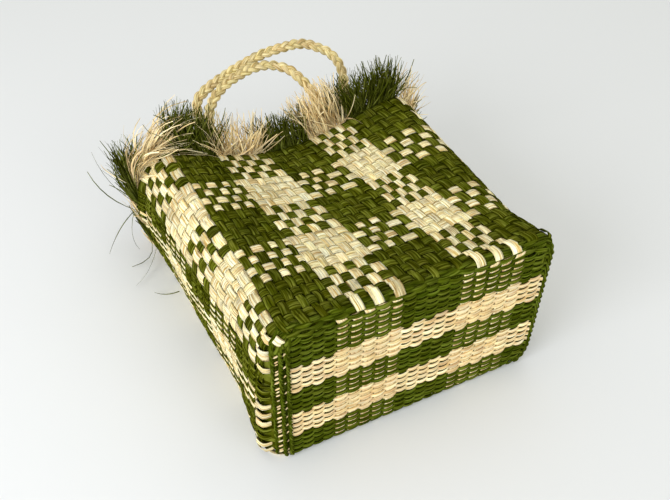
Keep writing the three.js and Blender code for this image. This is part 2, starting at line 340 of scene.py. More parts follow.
BUMP_SHARES = {"broad": 0.6, "fine": 0.4, "crumple": 2.0}


def colour(red, green, blue):
    """A linear colour from the eight-bit values of a screen."""
    shares = np.array([red, green, blue]) / 255
    linear = np.where(shares <= 0.04045, shares / 12.92, ((shares + 0.055) / 1.055) ** 2.4)
    return (*linear.tolist(), 1.0)


def fibre_material(name, dark, middle, light, gloss, split_shade, bump_depth):
    """Fibre along each strip: streaks of colour, fine dark splits, and a tone of its own for each float."""
    material = bpy.data.materials.new(name)
    material.use_nodes = True
    nodes, links = material.node_tree.nodes, material.node_tree.links

    def feed(node, inputs):
        """Sets a node's inputs to plain values, or links them to other nodes' outputs."""
        for key, source in inputs.items():
            if isinstance(source, bpy.types.NodeSocket):
                links.new(source, node.inputs[key])
            else:
                node.inputs[key].default_value = source
        return node.outputs

    def attribute(key):
        node = nodes.new("ShaderNodeAttribute")
        node.attribute_name = key
        return node.outputs

    def maths(operation, *sources, kind="ShaderNodeMath"):
        """MULTIPLY_ADD gives the first source times the second, plus the third."""
        node = nodes.new(kind)
        node.operation = operation
        return feed(node, dict(enumerate(sources)))[0]

    def streaks(across, along, detail):
        stretched = maths("MULTIPLY", fibre, (across, along, 1.0), kind="ShaderNodeVectorMath")
        noise = {"Vector": stretched, "Scale": 1.0, "Detail": detail}
        return feed(nodes.new("ShaderNodeTexNoise"), noise)["Fac"]

    fibre, tone = attribute("fibre")["Vector"], attribute("tone")["Fac"]
    streak = {key: streaks(*row) for key, row in STREAKS.items()}
    ramp = nodes.new("ShaderNodeValToRGB")
    first, last = ramp.color_ramp.elements
    first.position, first.color = DARK_PLACE, colour(*dark)
    last.position, last.color = LIGHT_PLACE, colour(*light)
    ramp.color_ramp.elements.new(MIDDLE_PLACE).color = colour(*middle)
    gap = maths("ABSOLUTE", maths("SUBTRACT", streak["split"], SPLIT_MIDDLE))
    split = {"Value": gap, "From Max": SPLIT_WIDTH, "To Min": split_shade}
    height = feed(nodes.new("ShaderNodeMapRange"), split)["Result"]
    level = maths("MULTIPLY_ADD", streak["blotch"], BLOTCH_TONE, tone)
    shade = feed(nodes.new("ShaderNodeHueSaturation"), {
        "Hue": maths("MULTIPLY_ADD", streak["blotch"], BLOTCH_HUE, FIRST_HUE),
        "Value": maths("MULTIPLY", level, height),
        "Color": feed(ramp, {"Fac": streak["broad"]})["Color"],
    })
    for key, share in BUMP_SHARES.items():
        height = maths("MULTIPLY_ADD", streak[key], share, height)
    bump = {"Strength": BUMP_STRENGTH, "Distance": bump_depth, "Height": height}
    feed(nodes["Principled BSDF"], {
        "Roughness": FIBRE_ROUGHNESS,
        "Specular IOR Level": gloss,
        "Base Color": shade["Color"],
        "Normal": feed(nodes.new("ShaderNodeBump"), bump)["Normal"],
    })
    return material


fibres = {name: fibre_material(name, *row) for name, row in FIBRES.items()}
STRIPS = (fibres["natural_palm_strip"], fibres["green_palm_strip"])
BASE_STRIPS = (fibres["natural_palm_base"], fibres["green_palm_base"])
LOOSE = (fibres["natural_loose_fibre"], fibres["green_loose_fibre"])
ROPE = (fibres["natural_palm_rope"],)

# Columns of the wall's warps: the places of their edges at the base, halfway and at the mouth
column_fibre, column_edges = [], []
for (fibre, starts, widths), (_, ends, _) in zip(BANDS, BANDS[1:] + BANDS[:1]):
    starts = np.array(starts)
    reach = (np.array(ends) - starts) % PANELS
    shares = np.concatenate([[0], np.cumsum(widths[:-1])]) / sum(widths)
    column_fibre += [fibre] * len(widths)
    column_edges += [starts + reach * share for share in shares]
COLUMNS = len(column_fibre)
column_fibre = np.array(column_fibre)
column_edges = np.array(column_edges + [column_edges[0] + PANELS])


def column_place(column, travel):
    """Place round the wall of a column coordinate, whole at the columns' edges."""
    base, halfway, mouth = (np.interp(column, np.arange(COLUMNS + 1), edges) for edges in column_edges.T)
    share = travel / RIM_TRAVEL
    return base + (4 * halfway - 3 * base - mouth) * share + 2 * (base + mouth - 2 * halfway) * share ** 2


# How far the rows ride up towards the mouth round the front left corner, and sag at the mouth beside it
CORNER_REACH = np.array([(-0.4, 0), (-0.25, 0.12), (-0.1, 0.5), (-0.03, 0.75), (0.05, 1), (0.12, 0.2),
                         (0.2, 0)])
CORNER_RISE = np.array([(0, 0), (65, -1), (110, 1), (150, 3.5), (185, 7.5), (240, 7), (RIM_TRAVEL, 6.5)])
SAG_PLACE, SAG_REACH = 0.31, 0.12
SAG_DROP = np.array([(240, 0), (RIM_TRAVEL, -4)])


def row_shift(place, travel):
    spot = (place + 2) % PANELS - 2
    corner = np.interp(spot, *CORNER_REACH.T) * np.interp(travel, *CORNER_RISE.T)
    return corner + np.exp(-((spot - SAG_PLACE) / SAG_REACH) ** 2) * np.interp(travel, *SAG_DROP.T)


def rim_travel(place):
    """Where the woven cloth ends and its fringe starts."""
    return RIM_TRAVEL + row_shift(place, RIM_TRAVEL) + np.interp(left_spot(place), *RIM_LIP.T)


# The wall's weave: every warp passes over one row and under the next
CLOTH_DEPTH = 1.3
WEAVE_HEIGHT = {NATURAL: 0.62, GREEN: 0.85}
HEIGHT_SPREAD = 0.14
STRIP_THICK = 0.5
WARP_FILL = {NATURAL: 1.05, GREEN: 0.96}
WARP_DRIFT, WARP_WIDTH_SPREAD, WARP_SWELL = 0.045, 0.06, 0.05
WEFT_FILL = {NATURAL: 0.96, GREEN: 0.87}
WEFT_DRIFT, WEFT_WIDTH_SPREAD = 0.4, 0.08
WEFT_SHARE, WEFT_SWELL = 0.96, 0.06
CROSSING_FILL = {NATURAL: 0.8, GREEN: 1.09}
WARP_SAMPLES, WEFT_SAMPLES = 7, 6
TONE = 0.75
TONE_SPREAD = {NATURAL: 0.11, GREEN: 0.18}

# Where the warps tuck in at the base's edge, how high they float over it, and how they widen there
TUCK_DEPTH = 2.2
FRONT_TUCK = {NATURAL: (5.3, 7.3), GREEN: (9.0, 12.0)}
SIDE_TUCK = (10.0, 15.5)
UNDER_TUCK = (FIRST_ROW - 2.0, FIRST_ROW + ROW_PITCH / 2)
EDGE_FLOAT = {NATURAL: 3.1, GREEN: 2.4}
CRESCENT, CORNER_CRESCENT = 0.55, -0.3
CORNER_COLUMNS = range(6)
CRESCENT_ROW, CRESCENT_REACH = -0.1, 0.6

# Warps that lean sideways at the base's edge: column, and sideways travel
FRONT_LEANS = {14: -4.0, 16: -4.5, 18: -4.0, 26: 2.0, 28: 3.0, 30: 5.0}
FRONT_LEAN_REACH = 24.0
CORNER_LEANS = {0: 10.0, 2: 4.0}
CORNER_LEAN_FULL, CORNER_LEAN_REACH = 22.0, 40.0

# A green warp whose first stretch is natural, the strip end on the corner, and the added row of the lip
NATURAL_TIPS = {0: 27.0}
CORNER_END_PLACE, CORNER_END_TRAVEL = 0.0, (6.0, 13.5)
CORNER_END_HALF, CORNER_END_LIFT, CORNER_END_CURVE = 3.4, 2.4, 2.4
LIP_ROW_COLUMNS = (-9, 6)

# Depth and tone of the lining under each kind of cell: the natural tone is the strips' own, the dark green
# tone is painted shade in the gaps
LINING_DEPTH = {NATURAL: CLOTH_DEPTH, GREEN: CLOTH_DEPTH + 0.8}
LINING_TONE_AND_SHADE = {NATURAL: 0.75, GREEN: 0.28}
LINING_STEPS = 3
EDGE_LINING_DEPTH, EDGE_LINING_OVERLAP = 0.9, 2.5


def wall_warp(bundle, column):
    fibre = column_fibre[column]
    on_side = column_place(column + 0.5, 0.0) % 2 > 1
    over_first = column % 2 == 0
    tuck_end, tuck_start = UNDER_TUCK
    if over_first:
        tuck_end, tuck_start = SIDE_TUCK if on_side else FRONT_TUCK[fibre]
    rim = rim_travel(column_place(column + 0.5, RIM_TRAVEL))
    travel = np.linspace(tuck_end, rim, int((rim - tuck_end) / ROW_PITCH * WARP_SAMPLES))
    rows = np.arange(-1, ROWS + 2)
    shift = row_shift(column_place(column + 0.5, travel), travel)
    row = (travel - shift - FIRST_ROW) / ROW_PITCH - 0.5
    drift = wander(row, rows, 0, WARP_DRIFT)
    spread = wander(row, rows, 1, WARP_WIDTH_SPREAD)
    rise = wander(row, rows, 1, HEIGHT_SPREAD)
    tone = wander(row, rows, TONE, TONE_SPREAD[fibre])
    point, side, _, out = wall_frame(column_place(column + 0.5 + drift, travel), travel)
    lean = FRONT_LEANS.get(column, 0.0) * np.clip(1 - travel / FRONT_LEAN_REACH, 0, 1)
    corner_share = np.interp(travel, (CORNER_LEAN_FULL, CORNER_LEAN_REACH), (1, 0))
    lean = lean + CORNER_LEANS.get(column, 0.0) * corner_share
    point = point + side * lean[:, None]
    left = wall_point(column_place(float(column), travel), travel)
    right = wall_point(column_place(float(column + 1), travel), travel)
    wave = np.cos(math.pi * row) * turn_about(column)
    height = WEAVE_HEIGHT[fibre] * rise * wave
    if over_first:
        height = np.where(row < 0, np.maximum(height, EDGE_FLOAT[fibre]), height)
        wave = np.where(row < 0, 1.0, wave)
    tuck = np.clip((tuck_start - travel) / (tuck_start - tuck_end), 0, 1)
    height = height * (1 - tuck) - TUCK_DEPTH * tuck
    width = np.linalg.norm(right - left, axis=1) * WARP_FILL[fibre] * spread
    width = width * (1 - WARP_SWELL + WARP_SWELL * wave)
    if over_first and on_side:
        swell = CORNER_CRESCENT if column in CORNER_COLUMNS else CRESCENT
        width = width * (1 + swell * np.clip(1 - np.abs(row - CRESCENT_ROW) / CRESCENT_REACH, 0, 1))
    centre = point + out * (height - CLOTH_DEPTH)[:, None]
    tip = np.searchsorted(travel, NATURAL_TIPS.get(column, 0.0))
    for kind, part in ((NATURAL, slice(0, tip + 1)), (fibre, slice(tip, None))):
        if len(travel[part]) > 1:
            add_flat_strip(bundle, centre[part], side[part], out[part], width[part] / 2, STRIP_THICK,
                           travel[part], tone[part], kind)


def wall_weft(bundle, row, fibre, first=0, last=COLUMNS):
    """One row of the wall's weft, right round it or from one column to another."""
    column = np.arange(first * WEFT_SAMPLES, last * WEFT_SAMPLES) / WEFT_SAMPLES
    knots = np.arange(first, last) + 0.5
    travel = FIRST_ROW + ROW_PITCH * (row + 0.5) + wander(column, knots, 0, WEFT_DRIFT, COLUMNS)
    travel = travel + row_shift(column_place(column % COLUMNS, travel), travel)
    point, _, along, out = wall_frame(column_place(column % COLUMNS, travel), travel)
    wave = -np.cos(math.pi * (column - 0.5)) * turn_about(row)
    height = WEAVE_HEIGHT[fibre] * wave * wander(column, knots, 1, HEIGHT_SPREAD, COLUMNS)
    crosses = column_fibre[np.floor(column).astype(int) % COLUMNS] != fibre
    width = ROW_PITCH * WEFT_FILL[fibre] * wander(column, knots, 1, WEFT_WIDTH_SPREAD, COLUMNS)
    width = width * (WEFT_SHARE + WEFT_SWELL * wave) * np.where(crosses, CROSSING_FILL[fibre], 1.0)
    centre = point + out * (height - CLOTH_DEPTH)[:, None]
    length = np.cumsum(np.linalg.norm(np.roll(point, -1, axis=0) - point, axis=1))
    tone = wander(column, knots, TONE, TONE_SPREAD[fibre], COLUMNS)
    add_flat_strip(bundle, centre, -along, out, width / 2, STRIP_THICK, length, tone, fibre,
                   closed_run=last - first == COLUMNS)


def corner_end(bundle):
    """The end of a natural strip that shows by itself on the front left corner of the base's edge."""
    travel = np.linspace(*CORNER_END_TRAVEL, WARP_SAMPLES)
    point, side, _, out = wall_frame(np.full_like(travel, CORNER_END_PLACE), travel)
    share = np.linspace(-1, 1, WARP_SAMPLES)
    centre = point + out * (CORNER_END_LIFT - CORNER_END_CURVE * share ** 2)[:, None]
    half = np.full_like(travel, CORNER_END_HALF)
    add_flat_strip(bundle, centre, side, out, half, STRIP_THICK, travel, TONE, NATURAL)


def lining():
    """The middle of the cloth, seen only through the small gaps at the strips' crossings. Under green cells
    its dark tone is painted shade in the gaps.
    """
    bundle = Bundle()
    for row in range(-1, ROWS + 1):
        fibre = ROW_FIBRES[min(max(row, 0), ROWS - 1)]
        low = FIRST_ROW + ROW_PITCH * row if row >= 0 else 0.0
        high = FIRST_ROW + ROW_PITCH * (row + 1) + (EDGE_LINING_OVERLAP if row < 0 else 0.0)
        for start in range(*LIP_ROW_COLUMNS) if row == ROWS else range(COLUMNS):
            column = start % COLUMNS + np.linspace(0, 1, LINING_STEPS)
            travel = np.linspace(low, high, LINING_STEPS)[:, None]
            travel = travel + row_shift(column_place(column, travel), travel)
            point, _, _, out = wall_frame(column_place(column, travel), travel)
            kind = NATURAL if fibre == NATURAL and column_fibre[start] == NATURAL else GREEN
            depth, tone = (LINING_DEPTH[kind], LINING_TONE_AND_SHADE[kind]) if row >= 0 else (EDGE_LINING_DEPTH, TONE)
            # Green cells get the dark lining tone, which is painted shade
            bundle.add((point - out * depth)[None], 0.0, travel, tone, kind, closed_section=False)
    return bundle


for name, columns in (("front", range(COLUMNS // 2)), ("back", range(COLUMNS // 2, COLUMNS))):
    warps = Bundle()
    for column in columns:
        wall_warp(warps, column)
    warps.build(f"wall_warps_{name}", STRIPS, "wall_weave")
wefts = Bundle()
for row, fibre in enumerate(ROW_FIBRES):
    wall_weft(wefts, row, fibre)
wall_weft(wefts, ROWS, GREEN, *LIP_ROW_COLUMNS)
corner_end(wefts)
wefts.build("wall_wefts", STRIPS, "wall_weave", "woven_wall")
lining().build("wall_lining_painted_shade", STRIPS, "wall_weave")

# The base: close rows of weft over wide warps, in stripes that run across it. Rows of BASE_COLUMNS: fibre,
# number of warps, and where their band starts and ends.
BASE_COLUMNS = (
    (GREEN, 4, -112.0, -74.3),
    (NATURAL, 5, -74.3, -15.5),
    (GREEN, 5, -15.5, 36.6),
    (NATURAL, 5, 36.6, 98.3),
    (GREEN, 2, 98.3, 119.7),
)
BASE_STRIPES = ((26.5, 57.4), (85.2, 113.8))
BASE_ROW = 3.16
BASE_BOTTOM = -4.0
BASE_HALF, BASE_HEIGHT = 125.0, 152.0
BASE_ROWS = round((BASE_HEIGHT - BASE_EDGE - BASE_BOTTOM) / BASE_ROW)
BASE_TURN = 5.0
BASE_MARGIN = 3.0
SQUEEZE_START = 95.0
LEFT, RIGHT = -1, 1
TOP_ROUND = 20.0
BOTTOM_ROUND = {LEFT: 7.0, RIGHT: 20.0}
BASE_WAVE, BASE_BOW, BASE_SINK = 1.0, 0.8, 0.3
BASE_FLOAT, BASE_FLOAT_THICK = 2.2, 0.9
FLOAT_FLATNESS, FLOAT_TAPER = 0.55, 0.18
BASE_SAMPLES, ROW_END_SAMPLES = 8, 5
ROW_OVERHANG = 0.3
ROW_JITTER, ROW_TONE_SPREAD = 0.15, 0.07
BASE_FIBRES_ACROSS = np.arange(ROUND_SIDES) * 0.6
BASE_WARP_WAVE, BASE_WARP_FILL, BASE_WARP_THICK = 0.4, 0.74, 0.35
BASE_WARP_DEPTH = {NATURAL: 0.1, GREEN: 0.8}
BASE_WARP_STEP = BASE_ROW / 4
BASE_WARP_TONE_SPREAD = 0.05

# The rows that lie over the turn onto the front, and the warps' runs under them
EDGE_ROWS, EDGE_WARP_ROWS = 5, 2
CORNER_COLUMN, CORNER_COLUMN_COUNT = 8.5, 3
EDGE_PLACES = np.linspace(-0.13, 1.13, 500)
EDGE_JITTER, EDGE_ROUGHNESS, EDGE_END_SINK = 0.6, 0.35, 2.2
EDGE_TONE, EDGE_TONE_SPREAD = TONE - 0.05, 0.17
EDGE_FIBRE_PITCH = 9.0
EDGE_WARP_START, EDGE_WARP_TRAVEL = -1.0, 4.0
FRONT_PLACES = np.linspace(0.02, 0.98, 300)

base_x_edges = np.concatenate([np.linspace(low, high, count, endpoint=False)
                               for _, count, low, high in BASE_COLUMNS])
base_x_edges = np.append(base_x_edges, BASE_COLUMNS[-1][-1])
BASE_END = base_x_edges[-1] + ROW_OVERHANG * CORNER_COLUMN
base_fibre = np.concatenate([[fibre] * count for fibre, count, _, _ in BASE_COLUMNS])


def rounding(radius, depth):
    """How far a rounded corner draws an edge in, at a depth into the corner."""
    depth = np.clip(depth, 0, radius)
    return radius - np.sqrt(radius ** 2 - depth ** 2)


def drawn_in(side, height, top_round=TOP_ROUND):
    """How far the base's rounded corners draw one of its short sides in, at a height."""
    bottom_round = BOTTOM_ROUND[side]
    top = rounding(top_round, height - BASE_HEIGHT + top_round)
    return top + rounding(bottom_round, bottom_round - height)


def base_frame(x, rise):
    """Point, upward and outward directions on the base, turning onto the back panel at its lower edge."""
    x, rise = np.broadcast_arrays(x, rise)
    turn = np.clip((BASE_TURN - rise) / BASE_TURN, 0, math.pi / 2)
    height = np.maximum(rise, BASE_TURN) - BASE_TURN * np.sin(turn)
    excess = np.maximum(BASE_END - (BASE_HALF - BASE_MARGIN - drawn_in(RIGHT, height)), 0)
    squeezed = x - excess * np.clip((x - SQUEEZE_START) / (BASE_END - SQUEEZE_START), 0, 1)
    point = np.stack([squeezed, BASE_TURN * (1 - np.cos(turn)), height], axis=-1)
    upward = np.stack([np.zeros_like(turn), -np.sin(turn), np.cos(turn)], axis=-1)
    out = np.stack([np.zeros_like(turn), -np.cos(turn), -np.sin(turn)], axis=-1)
    return point, upward, out


def add_float_row(bundle, centre, down, out, crest, along, tone, fibre):
    """A round row of weft, thicker where it floats."""
    half = BASE_FLOAT * (1 - FLOAT_TAPER + FLOAT_TAPER * crest)
    rings = strip_rings(centre, down, out, half, BASE_FLOAT_THICK, *ROUND)
    bundle.add(rings[None], half[:, None] * BASE_FIBRES_ACROSS, along[:, None], tone[:, None], fibre)


def flattened(wave):
    """A wave with longer flat crests and troughs and steeper sides."""
    return np.sign(wave) * np.abs(wave) ** FLOAT_FLATNESS


def base_weft(bundle, row):
    count = len(base_fibre)
    middle = BASE_BOTTOM + BASE_ROW * (row + 0.5)
    fibre = NATURAL if any(low < middle < high for low, high in BASE_STRIPES) else GREEN
    column = np.linspace(-ROW_OVERHANG, count + ROW_OVERHANG, count * BASE_SAMPLES + ROW_END_SAMPLES)
    x = np.interp(column, np.arange(count + 1), base_x_edges)
    x = x + (np.minimum(column, 0) + np.maximum(column - count, 0)) * CORNER_COLUMN
    wave = np.cos(math.pi * (column - 0.5)) * turn_about(row)
    knots = np.arange(-1, count + 2)
    jitter = wander(column, knots, 0, ROW_JITTER)
    tone = wander(column, knots, TONE, ROW_TONE_SPREAD)
    point, upward, out = base_frame(x, middle - BASE_BOW * wave + jitter)
    crest = flattened(wave)
    centre = point + out * (BASE_WAVE * crest - BASE_SINK)[:, None]
    add_float_row(bundle, centre, -upward, out, crest, x, tone, fibre)


def edge_row(bundle, step):
    """A row of the base's weave that lies over the turn onto the front and runs round its corners."""
    travel = BASE_ROW * (step + 0.5)
    loop = wall_point(EDGE_PLACES, travel)
    length = lengths_along(loop)
    length = length - length[np.argmin(np.abs(loop[:, 0]))]
    beyond = CORNER_COLUMN * np.arange(1, CORNER_COLUMN_COUNT + 1)
    edges = np.concatenate([base_x_edges[0] - beyond[::-1], base_x_edges, base_x_edges[-1] + beyond])
    count = len(edges) - 1
    column = np.linspace(0, count, count * BASE_SAMPLES)
    place = np.interp(np.interp(column, np.arange(count + 1), edges), length, EDGE_PLACES)
    wave = np.cos(math.pi * (column - CORNER_COLUMN_COUNT - 0.5)) * turn_about(step + BASE_ROWS)
    knots = np.arange(count + 1)
    jitter = wander(column, knots, 0, EDGE_JITTER)
    rough = wander(column, knots, 0, EDGE_ROUGHNESS)
    tone = wander(column, knots, EDGE_TONE, EDGE_TONE_SPREAD)
    point, _, along, out = wall_frame(place, travel - BASE_BOW * wave + jitter)
    sink = np.clip(1 - column, 0, 1) + np.clip(column - count + 1, 0, 1)
    crest = flattened(wave)
    centre = point + out * (BASE_WAVE * crest + rough - BASE_SINK - EDGE_END_SINK * sink)[:, None]
    add_float_row(bundle, centre, -along, out, crest, column * EDGE_FIBRE_PITCH, tone, GREEN)


def add_base_warp(bundle, column, fibre, point, side, out, wave, along):
    """A flat strip of the base's warp, in waves under and over the rows."""
    low, high = base_x_edges[column:column + 2]
    half = np.full_like(along, (high - low) / 2 * BASE_WARP_FILL)
    centre = point + out * (BASE_WARP_WAVE * wave - BASE_WARP_DEPTH[fibre])[:, None]
    tone = random.normal(TONE, BASE_WARP_TONE_SPREAD)
    add_flat_strip(bundle, centre, side, out, half, BASE_WARP_THICK, along, tone, fibre)


def base_warp(bundle, column, fibre):
    rise = np.arange(BASE_BOTTOM, BASE_HEIGHT - BASE_EDGE, BASE_WARP_STEP)
    wave = -np.cos(math.pi * ((rise - BASE_BOTTOM) / BASE_ROW - 0.5)) * turn_about(column)
    middle = base_x_edges[column:column + 2].mean()
    point, _, out = base_frame(np.full_like(rise, middle), rise)
    side = np.broadcast_to(X_AXIS, point.shape)
    add_base_warp(bundle, column, fibre, point, side, out, wave, rise)


def edge_warp(bundle, column, fibre):
    """A base strip's run over the turn onto the front, under the edge rows."""
    travel = np.arange(EDGE_WARP_START, BASE_ROW * EDGE_WARP_ROWS, BASE_WARP_STEP)
    middle = base_x_edges[column:column + 2].mean()
    place = np.interp(middle, wall_point(FRONT_PLACES, EDGE_WARP_TRAVEL)[:, 0], FRONT_PLACES)
    wave = -np.cos(math.pi * (travel / BASE_ROW - 0.5 + BASE_ROWS)) * turn_about(column)
    point, side, _, out = wall_frame(np.full_like(travel, place), travel)
    add_base_warp(bundle, column, fibre, point, side, out, wave, travel)


base_rows = Bundle()
for row in range(BASE_ROWS):
    base_weft(base_rows, row)
for step in range(EDGE_ROWS):
    edge_row(base_rows, step)
base_rows.build("base_wefts", BASE_STRIPS, "base_weave", "woven_base")
base_columns = Bundle()
for column, fibre in enumerate(base_fibre):
    base_warp(base_columns, column, fibre)
    edge_warp(base_columns, column, fibre)
base_columns.build("base_warps", BASE_STRIPS, "base_weave")

# Twisted cords along the short edges of the base. A turn is an angle, from straight out of the base at 0 to
# sideways at a right angle.
CORD_PLY, CORD_PLY_SPREAD = 1.1, 0.75
CORD_TWIST = {LEFT: 8.0, RIGHT: 13.0}
CORD_LIFT = 0.8
CORD_STEP = 1.0
CORD_BOTTOM = 2.5
CORD_TOP = {LEFT: 149.0, RIGHT: 144.5}
CORD_TOP_ROUND = {LEFT: TOP_ROUND, RIGHT: 13.0}
CORD_TUCK, CORD_TUCK_REACH = 5.0, 9.0
CORD_TURNS = {LEFT: (1.03, 0.42, -0.02), RIGHT: (1.5, 0.9, 0.25)}
CORD_SWAY, CORD_SWAY_KNOTS = 0.3, 12
CORD_TONE, CORD_TONE_SPREAD, CORD_TONE_KNOTS = TONE - 0.1, 0.1, 30
CORD_FIBRES_ACROSS = np.arange(ROUND_SIDES) * CORD_PLY * 0.7
EDGE_HALF = {LEFT: 125.0, RIGHT: 128.5}
EDGE_ROUND = {LEFT: BASE_EDGE, RIGHT: 6.0}

# Ends of natural strips that show between the cords. Rows of DASH_SIZES: half the length, half the height,
# and how many steps lie from one to the next, for the outer gap and then the inner one.
DASH_TURNS = {LEFT: (0.72, 0.2), RIGHT: (0.6,)}
DASH_SIZES = ((2.3, 1.1, 1), (1.2, 0.8, 2))
DASHES = 24
DASH_START, DASH_MARGIN = 5.0, 18.0
DASH_JITTER, DASH_SIZE_RANGE = 0.35, (0.5, 1.15)
DASH_STATIONS, DASH_SLANT, DASH_BLUNTNESS = 7, 0.9, 0.02
DASH_LIFT, DASH_THICK, DASH_TONE_SPREAD = 0.6, 0.7, 0.08
DASH_FIBRES_ACROSS = np.arange(ROUND_SIDES) * 0.8


def edge_point(side, turn, height):
    """Points on the turn between the base and a side panel."""
    reach = EDGE_HALF[side] - drawn_in(side, height, CORD_TOP_ROUND[side])
    reach = reach - EDGE_ROUND[side] * (1 - np.sin(turn))
    under = np.clip(1 - height / BASE_TURN, 0, 1)
    inward = EDGE_ROUND[side] * (1 - np.cos(turn)) + BASE_TURN * (1 - np.sqrt(1 - under ** 2))
    inward = inward + CORD_TUCK * np.clip(1 - (CORD_TOP[side] - height) / CORD_TUCK_REACH, 0, 1)
    return np.stack(np.broadcast_arrays(side * reach, inward, height), axis=-1)


def edge_outward(side, turn):
    return np.stack(np.broadcast_arrays(side * np.sin(turn), -np.cos(turn), 0.0), axis=-1)


def twisted_cord(bundle, side, turn):
    top = CORD_TOP[side]
    height = np.linspace(CORD_BOTTOM, top, int((top - CORD_BOTTOM) / CORD_STEP))
    axis, out = edge_point(side, turn, height), edge_outward(side, turn)
    across = np.cross(Z_AXIS, out)
    sway = wander(height, np.linspace(CORD_BOTTOM, top, CORD_SWAY_KNOTS), 0, CORD_SWAY)
    axis = axis + out * CORD_LIFT + across * sway[:, None]
    tone_knots = np.linspace(CORD_BOTTOM, top, CORD_TONE_KNOTS)
    for phase in (0.0, math.pi):
        angle = 2 * math.pi * height / CORD_TWIST[side] + phase
        ply = np.cos(angle)[:, None] * across + np.sin(angle)[:, None] * out
        centre = axis + ply * CORD_PLY * CORD_PLY_SPREAD
        sides, outs = np.broadcast_to(across, centre.shape), np.broadcast_to(out, centre.shape)
        rings = strip_rings(centre, sides, outs, np.full_like(height, CORD_PLY), CORD_PLY, *ROUND)
        tone = wander(height, tone_knots, CORD_TONE, CORD_TONE_SPREAD)
        bundle.add(rings[None], CORD_FIBRES_ACROSS, height[:, None], tone[:, None], GREEN)


def edge_dash(bundle, side, turn, height, half_length, half_tall):
    """A short end of a natural strip that shows between two cords."""
    share = np.linspace(-1, 1, DASH_STATIONS)
    heights = height - DASH_SLANT * half_length * share
    point = edge_point(side, turn + share * half_length / EDGE_ROUND[side], heights)
    outs = np.broadcast_to(edge_outward(side, turn), point.shape)
    upward = np.broadcast_to(Z_AXIS, point.shape)
    half = half_tall * np.sqrt(np.maximum(1 - share ** 2, DASH_BLUNTNESS))
    rings = strip_rings(point + outs * DASH_LIFT, upward, outs, half, DASH_THICK, *ROUND)
    tone = random.normal(TONE, DASH_TONE_SPREAD)
    bundle.add(rings[None], DASH_FIBRES_ACROSS, share[:, None] * half_length, tone, NATURAL)


for name, side in (("left", LEFT), ("right", RIGHT)):
    cords = Bundle()
    for turn in CORD_TURNS[side]:
        twisted_cord(cords, side, turn)
    dash_room = CORD_TOP[side] - CORD_BOTTOM - DASH_MARGIN
    for turn, (half_length, half_tall, every) in zip(DASH_TURNS[side], DASH_SIZES):
        for step in range(DASHES):
            share = (step + random.uniform(-DASH_JITTER, DASH_JITTER)) / DASHES
            height = CORD_BOTTOM + DASH_START + dash_room * share
            size = random.uniform(*DASH_SIZE_RANGE)
            if (step + 1) % every == 0:
                edge_dash(cords, side, turn, height, half_length * size, half_tall * size)
    cords.build(f"edge_cords_{name}", BASE_STRIPS, "green_cord",
                f"base_cord_{name}_outer", f"base_cord_{name}_inner")

# Handles: plaits of three strands along the routes of their frames
HANDLE_ROUTES = {
    "front": (
        (-60, 216, 101), (-59, 240, 98), (-58, 264, 95), (-57, 286, 93), (-57, 304, 98), (-56, 320, 106),
        (-54, 334, 114), (-49, 347, 121), (-41, 357, 126), (-30, 365, 131), (-16, 372, 135), (0, 378, 137),
        (16, 381, 139), (32, 380, 139), (45, 376, 136), (54, 369, 133), (60, 360, 128), (65, 349, 122),
        (68, 335, 114), (68, 320, 105), (66, 304, 95), (64, 288, 86), (62, 264, 89), (62, 240, 91),
        (62, 216, 94),
    ),
    "back": (
        (-60, 262, 8.6), (-60, 284, 9.4), (-60, 300, 18), (-59, 318, 39), (-58, 338, 64), (-57, 360, 91),
        (-53, 378, 113), (-40, 386, 122), (-22, 391, 128), (-6, 395, 132), (13, 398, 137), (37, 402, 141),
        (60, 403, 143), (85, 403, 142), (102, 398, 136), (114, 392, 129), (121, 384, 120), (123, 376, 110),
        (121, 362, 93), (116, 345, 73), (110, 328, 52), (104, 312, 32), (99, 298, 16), (97, 282, 9.4),
        (96, 262, 8.6),
    ),
}
HANDLE_STEP, ROUTE_STEPS = 1.2, 24
PLAIT_STRANDS, PLAIT_PERIOD = 3, 30.0
PLAIT_WIDE, PLAIT_DEEP = 3.2, 1.8
STRAND_WIDE, STRAND_THICK, STRAND_SIDES = 2.7, 2.1, 10
STRAND_WIDTH_SPREAD, STRAND_WIDTH_KNOTS = 0.06, 40
ROPE_TONE, ROPE_TONE_SPREAD, ROPE_TONE_KNOTS = 0.75, 0.05, 30
ROPE_FIBRES_ACROSS = np.arange(STRAND_SIDES) * 1.3


def smooth_route(route):
    """Evenly spaced points on a smooth curve through a route."""
    knots = np.array(route, float)
    before = np.concatenate([[2 * knots[0] - knots[1]], knots[:-1]])
    after = np.concatenate([knots[1:], [2 * knots[-1] - knots[-2]]])
    slopes = (after - before) / 2
    t = np.linspace(0, 1, ROUTE_STEPS, endpoint=False)[:, None]
    ends = zip(knots[:-1], knots[1:], slopes[:-1], slopes[1:])
    dense = np.concatenate([cubic(*end, t) for end in ends] + [knots[-1:]])
    length = lengths_along(dense)
    even = np.arange(0, length[-1], HANDLE_STEP)
    return even, np.stack([np.interp(even, length, values) for values in dense.T], axis=1)


